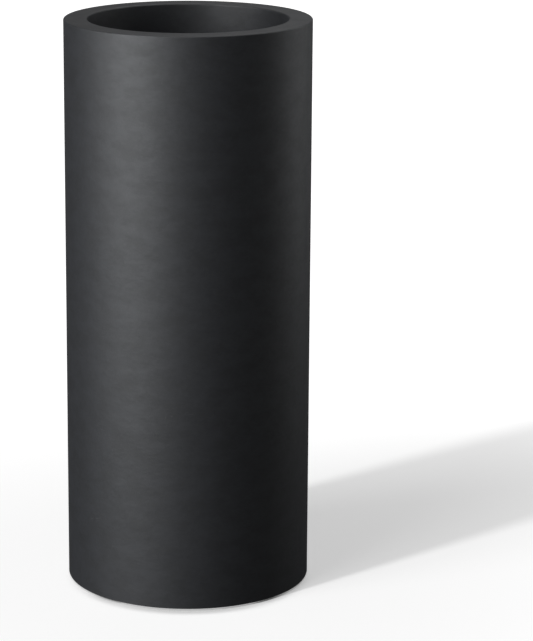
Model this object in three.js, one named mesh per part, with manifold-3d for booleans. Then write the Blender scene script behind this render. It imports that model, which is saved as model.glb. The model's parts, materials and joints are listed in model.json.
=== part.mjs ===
// Tall round fibreglass planter. One laminate makes the wall, the flat rim and the return lip. A foam
// core stiffens the rim, a bonded pan closes the base, and a shelf lifts out of a stepped ledge.
// Millimetres, +Z up. The origin is on the planter's axis, on the floor that its feet stand on.
import * as THREE from "three";
import { mergeVertices } from "three/addons/utils/BufferGeometryUtils.js";
import Module from "manifold-3d";

// --- Driving dimensions ------------------------------------------------------------------------

// Shell
const OUTER_DIAMETER = 457;
const OVERALL_HEIGHT = 1066;
const WALL_THICKNESS = 5;
const RIM_WIDTH = 44;
const RIM_THICKNESS = 6;
const LIP_THICKNESS = 5;
const LIP_DEPTH = 90;
const RIM_OUTER_ROUND = 2.5;
const RIM_INNER_ROUND = 3;
const BOTTOM_EDGE_ROUND = 1.2;

// Resin and paste between bonded pieces
const BOND_LINE = 0.3;

// Rim core
const RIM_CORE_HEIGHT = 24;
const RIM_CORE_CHAMFER = 4;

// Lift-out shelf
const PLANTING_DEPTH = 360;
const SHELF_THICKNESS = 12;
const SHELF_RIM_CLEARANCE = 6;
const SHELF_EDGE_CHAMFER = 2;
const FINGER_HOLE_COUNT = 2;
const FINGER_HOLE_DIAMETER = 36;
const FINGER_HOLE_FROM_LEDGE = 40;
const SHELF_DRAIN_DIAMETER = 8;
const SHELF_DRAIN_RINGS = 3;
const SHELF_DRAIN_FROM_LEDGE = 16.5;
const SHELF_DRAIN_WEB = 10;

// Ledge that carries the shelf
const LEDGE_BEARING = 14;
const LEDGE_THICKNESS = 8;
const SHELF_SIDE_CLEARANCE = 2;
const GUSSET_COUNT = 6;
const GUSSET_HEIGHT = 72;
const GUSSET_THICKNESS = 8;
const GUSSET_SETBACK = 8;
const GUSSET_NOSE = 12;

// Base pan
const PAN_RECESS = 28;
const PAN_FLOOR_THICKNESS = 6;
const PAN_SKIRT_THICKNESS = 5;
const PAN_CORNER_ROUND = 10;
const FILLET_LEG = 14;

// Rubber feet on moulded-in studs
const FOOT_COUNT = 4;
const FOOT_FIRST_ANGLE = 45;
const FOOT_PROUD = 3;
const FOOT_DIAMETER = 40;
const FOOT_CHAMFER = 2.5;
const FOOT_INSET = 10;
const STUD_DIAMETER = 8;
const STUD_EMBEDDED = 14;
const STUD_CHAMFER = 1;
const STUD_PROUD_OF_NUT = 3;
const STUD_HOLE_CLEARANCE = 0.5;
const THREAD_GAP = 0.3;
const WASHER_DIAMETER = 17;
const WASHER_THICKNESS = 1.6;
const NUT_ACROSS_FLATS = 13;
const NUT_HEIGHT = 6.5;
const NUT_CHAMFER = 0.8;

// Drain holes and their rubber plugs
const DRAIN_COUNT = 4;
const DRAIN_FIRST_ANGLE = 0;
const DRAIN_DIAMETER = 18;
const DRAIN_CIRCLE_DIAMETER = 230;
const PLUG_RUNNING_GAP = 0.3;
const PLUG_HEAD_DIAMETER = 28;
const PLUG_HEAD_THICKNESS = 4;
const PLUG_NOSE_LENGTH = 6;
const PLUG_NOSE_TAPER = 1.5;
const PLUG_TAB_WIDTH = 15;
const PLUG_TAB_THICKNESS = 5;
const PLUG_TAB_LENGTH = 8;

// Facets
const ROUND_STEPS = 2;
const SHELL_FACETS = 96;
const RING_FACETS = 72;
const RUBBER_FACETS = 24;
const FASTENER_FACETS = 18;
const SHELF_DRAIN_FACETS = 12;
const CUT_OVERSHOOT = 1;

// --- Derived sizes -----------------------------------------------------------------------------

const outerRadius = OUTER_DIAMETER / 2;
const wallInnerRadius = outerRadius - WALL_THICKNESS;
const openingRadius = outerRadius - RIM_WIDTH;
const lipBackRadius = openingRadius + LIP_THICKNESS;
const shellBottom = FOOT_PROUD;
const rimUnderside = OVERALL_HEIGHT - RIM_THICKNESS;

// A bonded piece keeps its facets inside the wall's own flats by the bond line.
const bondRadius = wallInnerRadius - BOND_LINE;

const shelfTop = OVERALL_HEIGHT - PLANTING_DEPTH;
const shelfBottom = shelfTop - SHELF_THICKNESS;
const shelfRadius = openingRadius - SHELF_RIM_CLEARANCE;
const ledgeInnerRadius = shelfRadius - LEDGE_BEARING;
const ledgeStepRadius = shelfRadius + SHELF_SIDE_CLEARANCE;
const ledgeUnderside = shelfBottom - LEDGE_THICKNESS;
const fingerHoleRadius = FINGER_HOLE_DIAMETER / 2;
const fingerHoleCircleRadius = ledgeInnerRadius - FINGER_HOLE_FROM_LEDGE - fingerHoleRadius;
const shelfDrainRadius = SHELF_DRAIN_DIAMETER / 2;

const panUnderside = shellBottom + PAN_RECESS;
const panTop = panUnderside + PAN_FLOOR_THICKNESS;
const panSkirtInnerRadius = bondRadius - PAN_SKIRT_THICKNESS;

const footRadius = FOOT_DIAMETER / 2;
const footCircleRadius = panSkirtInnerRadius - FOOT_INSET - footRadius;
const studRadius = STUD_DIAMETER / 2;
const washerTop = panTop + WASHER_THICKNESS;
const nutTop = washerTop + NUT_HEIGHT;

const drainRadius = DRAIN_DIAMETER / 2;
const plugRadius = drainRadius - PLUG_RUNNING_GAP;
const drainCircleRadius = DRAIN_CIRCLE_DIAMETER / 2;

// --- Materials ---------------------------------------------------------------------------------

const charcoalGelcoat = new THREE.MeshStandardMaterial({ color: 0x34363a, roughness: 0.52, metalness: 0 });
const rawLaminate = new THREE.MeshStandardMaterial({ color: 0x4a4b46, roughness: 0.6, metalness: 0 });
const foamCore = new THREE.MeshStandardMaterial({ color: 0xb79a62, roughness: 0.9, metalness: 0 });
const shelfBoard = new THREE.MeshStandardMaterial({ color: 0x26272a, roughness: 0.6, metalness: 0 });
const bondingPaste = new THREE.MeshStandardMaterial({ color: 0x5b5c58, roughness: 0.7, metalness: 0 });
const blackRubber = new THREE.MeshStandardMaterial({ color: 0x17171a, roughness: 0.8, metalness: 0 });
const zincSteel = new THREE.MeshStandardMaterial({ color: 0xb9bcc0, roughness: 0.35, metalness: 1 });

// --- Geometry helpers --------------------------------------------------------------------------

const wasm = await Module();
wasm.setup();

function solidOf(geometry) {
  const bare = geometry.index ? geometry.toNonIndexed() : geometry.clone();
  bare.deleteAttribute("normal");
  bare.deleteAttribute("uv");
  const merged = mergeVertices(bare);
  return new wasm.Manifold(
    new wasm.Mesh({
      numProp: 3,
      vertProperties: merged.attributes.position.array,
      triVerts: new Uint32Array(merged.index.array),
    }),
  );
}

function geometryOf(solid) {
  const { vertProperties, triVerts } = solid.getMesh();
  const geometry = new THREE.BufferGeometry();
  geometry.setAttribute("position", new THREE.BufferAttribute(new Float32Array(vertProperties), 3));
  geometry.setIndex(new THREE.BufferAttribute(new Uint32Array(triVerts), 1));
  geometry.computeVertexNormals();
  return geometry;
}

// A shape of revolution about Z. The outline is a Path of radius and height, drawn anticlockwise
// with the axis on its left. It starts and ends on the axis, or closes on itself.
function revolve(outline, facets) {
  const points = outline.getPoints(ROUND_STEPS);
  return new THREE.LatheGeometry(points, facets).rotateX(Math.PI / 2);
}

// A quarter-round corner, from one angle to another in degrees.
function corner(outline, radius, height, round, from, to) {
  const start = THREE.MathUtils.degToRad(from);
  const end = THREE.MathUtils.degToRad(to);
  outline.absarc(radius, height, round, start, end, to < from);
}

// A plain upright cylinder between two heights.
function cylinder(radius, bottom, top, facets) {
  const geometry = new THREE.CylinderGeometry(radius, radius, top - bottom, facets);
  return geometry.rotateX(Math.PI / 2).translate(0, 0, (bottom + top) / 2);
}

// A cutter that runs past both faces of a plate.
function throughHole(radius, bottom, top, place, facets) {
  const cutter = cylinder(radius, bottom - CUT_OVERSHOOT, top + CUT_OVERSHOOT, facets);
  return solidOf(cutter.translate(place.x, place.y, 0));
}

// Places spaced evenly round the axis, each with its x, its y and the angle it is turned to.
const ON_AXIS = { x: 0, y: 0, angle: 0 };

function placesOnCircle(radius, count, firstAngle = 0) {
  return Array.from({ length: count }, (_, i) => {
    const angle = THREE.MathUtils.degToRad(firstAngle) + (i * 2 * Math.PI) / count;
    return { x: radius * Math.cos(angle), y: radius * Math.sin(angle), angle };
  });
}

function cutAll(solid, cutters) {
  return cutters.reduce((left, cutter) => left.subtract(cutter), solid);
}

const planter = new THREE.Group();

function add(name, geometry, material, place = ON_AXIS) {
  const mesh = new THREE.Mesh(geometry, material);
  mesh.name = name;
  mesh.position.set(place.x, place.y, 0);
  mesh.rotation.z = place.angle;
  planter.add(mesh);
}

// --- Shell: wall, flat rim and return lip in one laminate -----------------------------------------

function shell() {
  const outline = new THREE.Path();
  outline.moveTo(wallInnerRadius, shellBottom);
  outline.lineTo(outerRadius - BOTTOM_EDGE_ROUND, shellBottom);
  corner(outline, outerRadius - BOTTOM_EDGE_ROUND, shellBottom + BOTTOM_EDGE_ROUND, BOTTOM_EDGE_ROUND, -90, 0);
  outline.lineTo(outerRadius, OVERALL_HEIGHT - RIM_OUTER_ROUND);
  corner(outline, outerRadius - RIM_OUTER_ROUND, OVERALL_HEIGHT - RIM_OUTER_ROUND, RIM_OUTER_ROUND, 0, 90);
  outline.lineTo(openingRadius + RIM_INNER_ROUND, OVERALL_HEIGHT);
  corner(outline, openingRadius + RIM_INNER_ROUND, OVERALL_HEIGHT - RIM_INNER_ROUND, RIM_INNER_ROUND, 90, 180);
  outline.lineTo(openingRadius, OVERALL_HEIGHT - LIP_DEPTH);
  outline.lineTo(lipBackRadius, OVERALL_HEIGHT - LIP_DEPTH);
  outline.lineTo(lipBackRadius, rimUnderside);
  outline.lineTo(wallInnerRadius, rimUnderside);
  outline.lineTo(wallInnerRadius, shellBottom);
  return revolve(outline, SHELL_FACETS);
}

// --- Rim core: a foam ring bonded up into the channel behind the lip ------------------------------

function rimCore() {
  const inner = lipBackRadius + BOND_LINE;
  const top = rimUnderside - BOND_LINE;
  const bottom = top - RIM_CORE_HEIGHT;
  const outline = new THREE.Path();
  outline.moveTo(inner + RIM_CORE_CHAMFER, bottom);
  outline.lineTo(bondRadius - RIM_CORE_CHAMFER, bottom);
  outline.lineTo(bondRadius, bottom + RIM_CORE_CHAMFER);
  outline.lineTo(bondRadius, top);
  outline.lineTo(inner, top);
  outline.lineTo(inner, bottom + RIM_CORE_CHAMFER);
  outline.lineTo(inner + RIM_CORE_CHAMFER, bottom);
  return revolve(outline, RING_FACETS);
}

// --- Ledge: a stepped ring round the wall, with the shelf let into its step -----------------------

function shelfLedge() {
  const outline = new THREE.Path();
  outline.moveTo(ledgeInnerRadius, ledgeUnderside);
  outline.lineTo(bondRadius, ledgeUnderside);
  outline.lineTo(bondRadius, shelfTop);
  outline.lineTo(ledgeStepRadius, shelfTop);
  outline.lineTo(ledgeStepRadius, shelfBottom);
  outline.lineTo(ledgeInnerRadius, shelfBottom);
  outline.lineTo(ledgeInnerRadius, ledgeUnderside);
  return revolve(outline, RING_FACETS);
}

// A triangular web under the ledge, with its nose cut square. It is drawn in the plane of the
// radius and the height, and its thickness is centred on that plane.
function ledgeGusset() {
  const top = ledgeUnderside - BOND_LINE;
  const tip = ledgeInnerRadius + GUSSET_SETBACK;
  const outline = new THREE.Shape();
  outline.moveTo(bondRadius, top);
  outline.lineTo(tip, top);
  outline.lineTo(tip, top - GUSSET_NOSE);
  outline.lineTo(bondRadius - GUSSET_NOSE, top - GUSSET_HEIGHT);
  outline.lineTo(bondRadius, top - GUSSET_HEIGHT);
  outline.closePath();
  const plate = new THREE.ExtrudeGeometry(outline, { depth: GUSSET_THICKNESS, bevelEnabled: false });
  return plate.translate(0, 0, -GUSSET_THICKNESS / 2).rotateX(Math.PI / 2);
}

// --- Shelf: a drilled board that drops through the opening onto the ledge -------------------------

function insertShelf() {
  const outline = new THREE.Path();
  outline.moveTo(0, shelfBottom);
  outline.lineTo(shelfRadius - SHELF_EDGE_CHAMFER, shelfBottom);
  outline.lineTo(shelfRadius, shelfBottom + SHELF_EDGE_CHAMFER);
  outline.lineTo(shelfRadius, shelfTop - SHELF_EDGE_CHAMFER);
  outline.lineTo(shelfRadius - SHELF_EDGE_CHAMFER, shelfTop);
  outline.lineTo(0, shelfTop);
  const board = solidOf(revolve(outline, RING_FACETS));
  const fingerHoles = placesOnCircle(fingerHoleCircleRadius, FINGER_HOLE_COUNT);
  const fingerCuts = fingerHoles.map((hole) => {
    return throughHole(fingerHoleRadius, shelfBottom, shelfTop, hole, RUBBER_FACETS);
  });
  const drainCuts = shelfDrains(fingerHoles).map((drain) => {
    return throughHole(shelfDrainRadius, shelfBottom, shelfTop, drain, SHELF_DRAIN_FACETS);
  });
  return geometryOf(cutAll(board, [...fingerCuts, ...drainCuts]));
}

// Small holes on evenly spaced rings, six more on each ring than on the one inside it. They stop
// short of the ledge and leave out what would run into a finger hole.
function shelfDrains(fingerHoles) {
  const outermost = ledgeInnerRadius - SHELF_DRAIN_FROM_LEDGE - shelfDrainRadius;
  const rings = Array.from({ length: SHELF_DRAIN_RINGS }, (_, i) => {
    return placesOnCircle(((i + 1) * outermost) / SHELF_DRAIN_RINGS, (i + 1) * 6);
  });
  const clearance = fingerHoleRadius + SHELF_DRAIN_WEB + shelfDrainRadius;
  return rings.flat().filter((drain) => {
    return fingerHoles.every((hole) => Math.hypot(hole.x - drain.x, hole.y - drain.y) > clearance);
  });
}

// --- Base pan: a floor with a skirt, bonded up into the shell's open bottom ------------------------

function basePan(footPlaces, drainPlaces) {
  const innerRound = PAN_CORNER_ROUND - PAN_SKIRT_THICKNESS;
  const outline = new THREE.Path();
  outline.moveTo(0, panUnderside);
  outline.lineTo(panSkirtInnerRadius - innerRound, panUnderside);
  corner(outline, panSkirtInnerRadius - innerRound, panUnderside - innerRound, innerRound, 90, 0);
  outline.lineTo(panSkirtInnerRadius, shellBottom);
  outline.lineTo(bondRadius, shellBottom);
  outline.lineTo(bondRadius, panTop - PAN_CORNER_ROUND);
  corner(outline, bondRadius - PAN_CORNER_ROUND, panTop - PAN_CORNER_ROUND, PAN_CORNER_ROUND, 0, 90);
  outline.lineTo(0, panTop);
  const pan = solidOf(revolve(outline, RING_FACETS));
  const studHoleRadius = studRadius + STUD_HOLE_CLEARANCE;
  const studCuts = footPlaces.map((place) => {
    return throughHole(studHoleRadius, panUnderside, panTop, place, FASTENER_FACETS);
  });
  const drainCuts = drainPlaces.map((place) => {
    return throughHole(drainRadius, panUnderside, panTop, place, RUBBER_FACETS);
  });
  return geometryOf(cutAll(pan, [...studCuts, ...drainCuts]));
}

// Bonding paste along the corner where the wall meets the pan. It fills the pan's rounded edge.
function baseFillet() {
  const centreRadius = bondRadius - PAN_CORNER_ROUND;
  const centreHeight = panTop - PAN_CORNER_ROUND;
  const reach = PAN_CORNER_ROUND + BOND_LINE;
  const halfway = reach * Math.SQRT1_2;
  const outline = new THREE.Path();
  outline.moveTo(centreRadius + halfway, centreHeight + halfway);
  outline.lineTo(bondRadius, centreHeight + halfway);
  outline.lineTo(bondRadius, panTop + FILLET_LEG);
  outline.lineTo(bondRadius - FILLET_LEG, panTop + BOND_LINE);
  outline.lineTo(centreRadius, panTop + BOND_LINE);
  corner(outline, centreRadius, centreHeight, reach, 90, 45);
  return revolve(outline, RING_FACETS);
}

// --- Feet: rubber buffers with a stud moulded in, a washer and a nut -------------------------------

function foot() {
  const holeRadius = studRadius + BOND_LINE;
  const holeBottom = panUnderside - STUD_EMBEDDED - BOND_LINE;
  const outline = new THREE.Path();
  outline.moveTo(0, 0);
  outline.lineTo(footRadius - FOOT_CHAMFER, 0);
  outline.lineTo(footRadius, FOOT_CHAMFER);
  outline.lineTo(footRadius, panUnderside);
  outline.lineTo(holeRadius, panUnderside);
  outline.lineTo(holeRadius, holeBottom);
  outline.lineTo(0, holeBottom);
  return revolve(outline, RUBBER_FACETS);
}

function footStud() {
  const bottom = panUnderside - STUD_EMBEDDED;
  const top = nutTop + STUD_PROUD_OF_NUT;
  const outline = new THREE.Path();
  outline.moveTo(0, bottom);
  outline.lineTo(studRadius, bottom);
  outline.lineTo(studRadius, top - STUD_CHAMFER);
  outline.lineTo(studRadius - STUD_CHAMFER, top);
  outline.lineTo(0, top);
  return revolve(outline, FASTENER_FACETS);
}

function footWasher() {
  const washer = solidOf(cylinder(WASHER_DIAMETER / 2, panTop, washerTop, FASTENER_FACETS));
  const hole = throughHole(studRadius + THREAD_GAP, panTop, washerTop, ON_AXIS, FASTENER_FACETS);
  return geometryOf(washer.subtract(hole));
}

function footNut() {
  const cornerRadius = NUT_ACROSS_FLATS / Math.sqrt(3);
  const hexagon = solidOf(cylinder(cornerRadius, washerTop, nutTop, 6));
  const outline = new THREE.Path();
  outline.moveTo(0, washerTop);
  outline.lineTo(cornerRadius, washerTop);
  outline.lineTo(cornerRadius, nutTop - NUT_CHAMFER);
  outline.lineTo(NUT_ACROSS_FLATS / 2, nutTop);
  outline.lineTo(0, nutTop);
  const rounded = solidOf(revolve(outline, FASTENER_FACETS));
  const hole = throughHole(studRadius + THREAD_GAP, washerTop, nutTop, ON_AXIS, FASTENER_FACETS);
  return geometryOf(hexagon.intersect(rounded).subtract(hole));
}

// --- Drain plug: a tapered rubber bung pushed up from below, with a tab to pull ---------------------

function drainPlug() {
  const headBottom = panUnderside - PLUG_HEAD_THICKNESS;
  const outline = new THREE.Path();
  outline.moveTo(0, headBottom);
  outline.lineTo(PLUG_HEAD_DIAMETER / 2, headBottom);
  outline.lineTo(PLUG_HEAD_DIAMETER / 2, panUnderside);
  outline.lineTo(plugRadius, panUnderside);
  outline.lineTo(plugRadius, panTop);
  outline.lineTo(plugRadius - PLUG_NOSE_TAPER, panTop + PLUG_NOSE_LENGTH);
  outline.lineTo(0, panTop + PLUG_NOSE_LENGTH);
  const bung = solidOf(revolve(outline, RUBBER_FACETS));
  const tabHeight = PLUG_TAB_LENGTH + PLUG_HEAD_THICKNESS / 2;
  const tab = new THREE.BoxGeometry(PLUG_TAB_WIDTH, PLUG_TAB_THICKNESS, tabHeight);
  tab.translate(0, 0, headBottom - PLUG_TAB_LENGTH + tabHeight / 2);
  return geometryOf(bung.add(solidOf(tab)));
}

// --- Assembly ----------------------------------------------------------------------------------

const footPlaces = placesOnCircle(footCircleRadius, FOOT_COUNT, FOOT_FIRST_ANGLE);
const drainPlaces = placesOnCircle(drainCircleRadius, DRAIN_COUNT, DRAIN_FIRST_ANGLE);

add("planter_shell", shell(), charcoalGelcoat);
add("rim_core", rimCore(), foamCore);
add("shelf_ledge", shelfLedge(), rawLaminate);
add("insert_shelf", insertShelf(), shelfBoard);
add("base_pan", basePan(footPlaces, drainPlaces), rawLaminate);
add("base_fillet", baseFillet(), bondingPaste);

placesOnCircle(0, GUSSET_COUNT).forEach((place, i) => {
  add(`ledge_gusset_${i + 1}`, ledgeGusset(), rawLaminate, place);
});

footPlaces.forEach((place, i) => {
  add(`foot_${i + 1}`, foot(), blackRubber, place);
  add(`foot_stud_${i + 1}`, footStud(), zincSteel, place);
  add(`foot_washer_${i + 1}`, footWasher(), zincSteel, place);
  add(`foot_nut_${i + 1}`, footNut(), zincSteel, place);
});

drainPlaces.forEach((place, i) => {
  add(`drain_plug_${i + 1}`, drainPlug(), blackRubber, place);
});

export default planter;
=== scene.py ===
"""Dresses a tall round fibreglass planter: a charcoal gelcoat shell with raw laminate inside, a foam rim
core, a glassed ledge with webs, a lift-out shelf, a bonded base pan, rubber feet and drain plugs."""

import json
import math

import bmesh
import bpy
from mathutils import Matrix, Vector, noise

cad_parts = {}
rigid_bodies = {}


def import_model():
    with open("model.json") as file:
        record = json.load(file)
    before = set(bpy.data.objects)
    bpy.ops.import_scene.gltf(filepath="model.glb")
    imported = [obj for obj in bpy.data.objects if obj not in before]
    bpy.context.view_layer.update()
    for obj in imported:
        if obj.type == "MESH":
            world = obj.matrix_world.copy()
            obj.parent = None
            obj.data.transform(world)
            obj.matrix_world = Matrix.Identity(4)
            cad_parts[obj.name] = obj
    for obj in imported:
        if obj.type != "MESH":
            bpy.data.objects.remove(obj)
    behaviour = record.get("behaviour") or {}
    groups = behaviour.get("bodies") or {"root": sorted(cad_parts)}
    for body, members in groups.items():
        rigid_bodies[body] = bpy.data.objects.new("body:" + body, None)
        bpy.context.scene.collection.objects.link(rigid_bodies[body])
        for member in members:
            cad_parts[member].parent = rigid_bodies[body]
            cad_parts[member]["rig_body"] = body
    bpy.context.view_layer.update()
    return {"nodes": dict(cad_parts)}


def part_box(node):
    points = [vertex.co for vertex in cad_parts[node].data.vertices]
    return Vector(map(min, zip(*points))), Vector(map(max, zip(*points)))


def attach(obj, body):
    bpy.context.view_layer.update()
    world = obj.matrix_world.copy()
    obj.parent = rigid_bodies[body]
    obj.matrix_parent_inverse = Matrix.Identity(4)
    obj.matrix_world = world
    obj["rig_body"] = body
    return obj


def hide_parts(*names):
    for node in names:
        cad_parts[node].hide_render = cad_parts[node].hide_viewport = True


bl_info = {
    "name": "Tall fibreglass planter",
    "version": (1, 0, 0),
    "blender": (4, 5, 0),
    "location": "3D View > Sidebar > Planter",
    "description": "Builds a tall round planter's shell, shelf, base, feet and plugs, and a plain studio",
    "category": "Add Mesh",
}

TAU = 2 * math.pi
MM = 0.001
SAME_POINT = 0.01 * MM
SAME_HEIGHT = 0.05 * MM

# --- The fixed frame, and the sizes that it gives ----------------------------------------------------

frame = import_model()


def heights_of(node):
    """The heights of a node's lower and upper ends."""
    return [corner.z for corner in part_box(node)]


def centre_of(node):
    """The middle of a node's box, on the floor."""
    low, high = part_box(node)
    return Vector(((low.x + high.x) / 2, (low.y + high.y) / 2, 0))


def corners_of(node, centre=Vector()):
    """A node's corners as (distance from an upright axis, height)."""
    vertices = frame["nodes"][node].data.vertices
    return [(math.hypot(v.co.x - centre.x, v.co.y - centre.y), v.co.z) for v in vertices]


def radii_at(node, height):
    """The smallest and largest radius of a node's corners at one height."""
    found = [radius for radius, z in corners_of(node) if abs(z - height) < SAME_HEIGHT]
    return min(found), max(found)


SHELL_BOTTOM, SHELL_TOP = heights_of("planter_shell")
OUTER_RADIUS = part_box("planter_shell")[1].x
WALL_INNER_RADIUS = radii_at("planter_shell", SHELL_BOTTOM)[0]
OPENING_RADIUS = min(radius for radius, _ in corners_of("planter_shell"))
LIP_BOTTOM = min(z for radius, z in corners_of("planter_shell") if radius < WALL_INNER_RADIUS - MM)
LIP_BACK_RADIUS = radii_at("planter_shell", LIP_BOTTOM)[1]
RIM_UNDERSIDE = max(z for radius, z in corners_of("planter_shell") if abs(radius - LIP_BACK_RADIUS) < MM)

CORE_BOTTOM, CORE_TOP = heights_of("rim_core")
CORE_INNER_RADIUS, CORE_OUTER_RADIUS = radii_at("rim_core", CORE_TOP)

LEDGE_BOTTOM, LEDGE_TOP = heights_of("shelf_ledge")
LEDGE_INNER_RADIUS, LEDGE_OUTER_RADIUS = radii_at("shelf_ledge", LEDGE_BOTTOM)
LEDGE_STEP_RADIUS = radii_at("shelf_ledge", LEDGE_TOP)[0]
WEB_BOTTOM = heights_of("ledge_gusset_1")[0]

SHELF_BOTTOM, SHELF_TOP = heights_of("insert_shelf")
SHELF_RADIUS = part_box("insert_shelf")[1].x

PAN_BOTTOM, PAN_TOP = heights_of("base_pan")
PAN_SKIRT_INNER_RADIUS, PAN_RADIUS = radii_at("base_pan", PAN_BOTTOM)
PAN_UNDERSIDE = heights_of("foot_1")[1]

BEAD_TOP = heights_of("base_fillet")[1]
BEAD_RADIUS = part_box("base_fillet")[1].x


class SmallPart:
    """A small round CAD piece: the heights of its ends, and its radii about its own upright axis."""

    def __init__(self, node):
        self.node = node
        self.low, self.high = heights_of(node)
        self.centre = centre_of(node)
        self.corners = corners_of(node, self.centre)
        self.radius = max(radius for radius, _ in self.corners)
        self.bore = min(radius for radius, _ in self.corners)

    def corner_angle(self):
        """The angle of the corner that is farthest from the piece's own axis."""
        corners = [v.co.xy - self.centre.xy for v in frame["nodes"][self.node].data.vertices]
        x, y = max(corners, key=lambda corner: corner.length)
        return math.atan2(y, x)


# --- Sizes and colours that a user would change ------------------------------------------------------


def number(name, default, description, **kind):
    return bpy.props.FloatProperty(name=name, description=description, default=default, **kind)


def amount(name, default, description):
    return number(name, default, description, min=0)


def length(name, default_mm, description):
    return number(name, default_mm * MM, description, min=0, unit="LENGTH", precision=5)


def share(name, default, description):
    return number(name, default, description, min=0, max=1, subtype="FACTOR")


def degrees(name, default, description):
    return number(name, math.radians(default), description, subtype="ANGLE", unit="ROTATION")


def count(name, default, description):
    return bpy.props.IntProperty(name=name, description=description, default=default, min=3)


def colour(name, default, description):
    return bpy.props.FloatVectorProperty(
        name=name, description=description, default=default, size=3, min=0, max=1, subtype="COLOR"
    )


class PlanterShellSettings(bpy.types.PropertyGroup):
    """The laminate shell."""

    facets: count("Facets", 360, "Facets round the shell")
    outer_round: length("Outer edge round", 2.5, "Radius of the rim's outer edge")
    inner_round: length("Inner edge round", 3.0, "Radius of the rim's inner edge")
    trim_round: length("Trimmed edge round", 1.2, "Radius of the edges that were trimmed after moulding")
    wave: length("Moulding wave", 0.12, "How far the gelcoat departs from a true cylinder")
    mat_lap: length("Mat lap", 0.7, "Extra thickness where two strips of glass mat overlap inside")
    mat_strip: length("Mat strip", 240, "Width of a strip of glass mat")


class PlanterInsideSettings(bpy.types.PropertyGroup):
    """The pieces inside the shell."""

    facets: count("Facets", 192, "Facets round the large rings")
    core_blocks: count("Foam blocks", 8, "Foam blocks butted end to end under the rim")
    core_kerfs: count("Kerfs", 96, "Saw cuts that let the foam bend round the rim")
    resin_round: length("Resin round", 2.0, "Radius of edges covered in resin")
    board_round: length("Board round", 2.0, "Radius of the shelf's edges")
    hole_chamfer: length("Hole chamfer", 0.8, "Chamfer round drilled holes")
    pan_round: length("Pan round", 10, "Radius of the base pan's outer corner")


class PlanterHardwareSettings(bpy.types.PropertyGroup):
    """The feet, their fasteners and the drain plugs."""

    facets: count("Facets", 48, "Facets round a washer or a plug")
    foot_ribs: count("Foot ribs", 24, "Ribs round a rubber foot")
    thread_pitch: length("Thread pitch", 1.25, "Pitch of the studs' coarse thread")
    thread_depth: length("Thread depth", 0.65, "Depth of the studs' thread")
    plug_barbs: count("Plug barbs", 3, "Rings round a plug's shank that grip the hole")


class PlanterFinishSettings(bpy.types.PropertyGroup):
    """Colours and wear."""

    gelcoat: colour("Gelcoat", (0.0072, 0.0078, 0.0094), "Charcoal gelcoat")
    gelcoat_pale: colour("Gelcoat cloud", (0.0142, 0.0152, 0.0181), "Paler clouds in the gelcoat")
    gelcoat_gloss: share("Gelcoat roughness", 0.59, "Roughness of the gelcoat's clear skin")
    scuff: colour("Scuff", (0.115, 0.115, 0.118), "Scuffs and worn edges of the gelcoat")
    resin: colour("Resin", (0.030, 0.031, 0.029), "Pigmented resin between the strands of glass")
    resin_pale: colour("Resin cloud", (0.042, 0.043, 0.041), "Resin with less pigment")
    strand: colour("Strand", (0.105, 0.108, 0.100), "Strands of glass in the raw laminate")
    foam: colour("Foam", (0.47, 0.31, 0.115), "Closed-cell foam")
    board: colour("Board", (0.0185, 0.0190, 0.0215), "Moulded shelf board")
    board_pale: colour("Board cloud", (0.0240, 0.0246, 0.0272), "Paler flow marks in the board")
    paste: colour("Paste", (0.105, 0.105, 0.098), "Bonding paste")
    rubber: colour("Rubber", (0.0095, 0.0095, 0.0105), "Black rubber")
    zinc: colour("Zinc", (0.60, 0.62, 0.64), "Zinc plating")
    dust: colour("Dust", (0.150, 0.140, 0.122), "Dust and dried splashes")
    dust_share: share("Dust share", 0.16, "How much dust lies on upward faces")


class PlanterStageSettings(bpy.types.PropertyGroup):
    """The floor, the lamps and the camera."""

    floor: colour("Floor", (0.82, 0.82, 0.82), "Floor, as the camera sees it")
    floor_bounce: colour("Floor bounce", (0.06, 0.06, 0.06), "Floor, as it lights the planter")
    floor_glow: share("Floor glow", 0.498, "White added to the floor that the camera sees, at the planter")
    far_glow: share("Far glow", 0.750, "White added to the floor two metres from the planter and beyond")
    ambient: share("Ambient", 0.12, "Even light from all round")
    reflected: share("Reflected", 0.05, "How bright the sides of the studio are in reflections")
    key_strength: amount("Key strength", 0.6, "Sunlight-like key lamp")
    floor_key_strength: amount("Floor key strength", 0.65, "What the key lamp adds on the floor alone")
    floor_fill_strength: amount("Floor fill strength", 1.05, "Wide light round the key, on the floor alone")
    fill_softness: degrees("Fill softness", 35, "Angle across the wide light")
    key_azimuth: degrees("Key azimuth", 49, "How far left of the camera the key lamp stands")
    key_elevation: degrees("Key elevation", 36, "Height of the key lamp above the floor")
    key_softness: degrees("Key softness", 4, "Angle across the key lamp")
    camera_distance: length("Camera distance", 5109, "Distance of the camera from the planter's axis")
    camera_height: length("Camera height", 1811, "Height of the camera")
    camera_pitch: degrees("Camera pitch", 14.453, "How far down the camera looks")


SETTINGS = {
    "planter_shell": PlanterShellSettings,
    "planter_inside": PlanterInsideSettings,
    "planter_hardware": PlanterHardwareSettings,
    "planter_finish": PlanterFinishSettings,
    "planter_stage": PlanterStageSettings,
}

# --- Meshes ------------------------------------------------------------------------------------------


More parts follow.
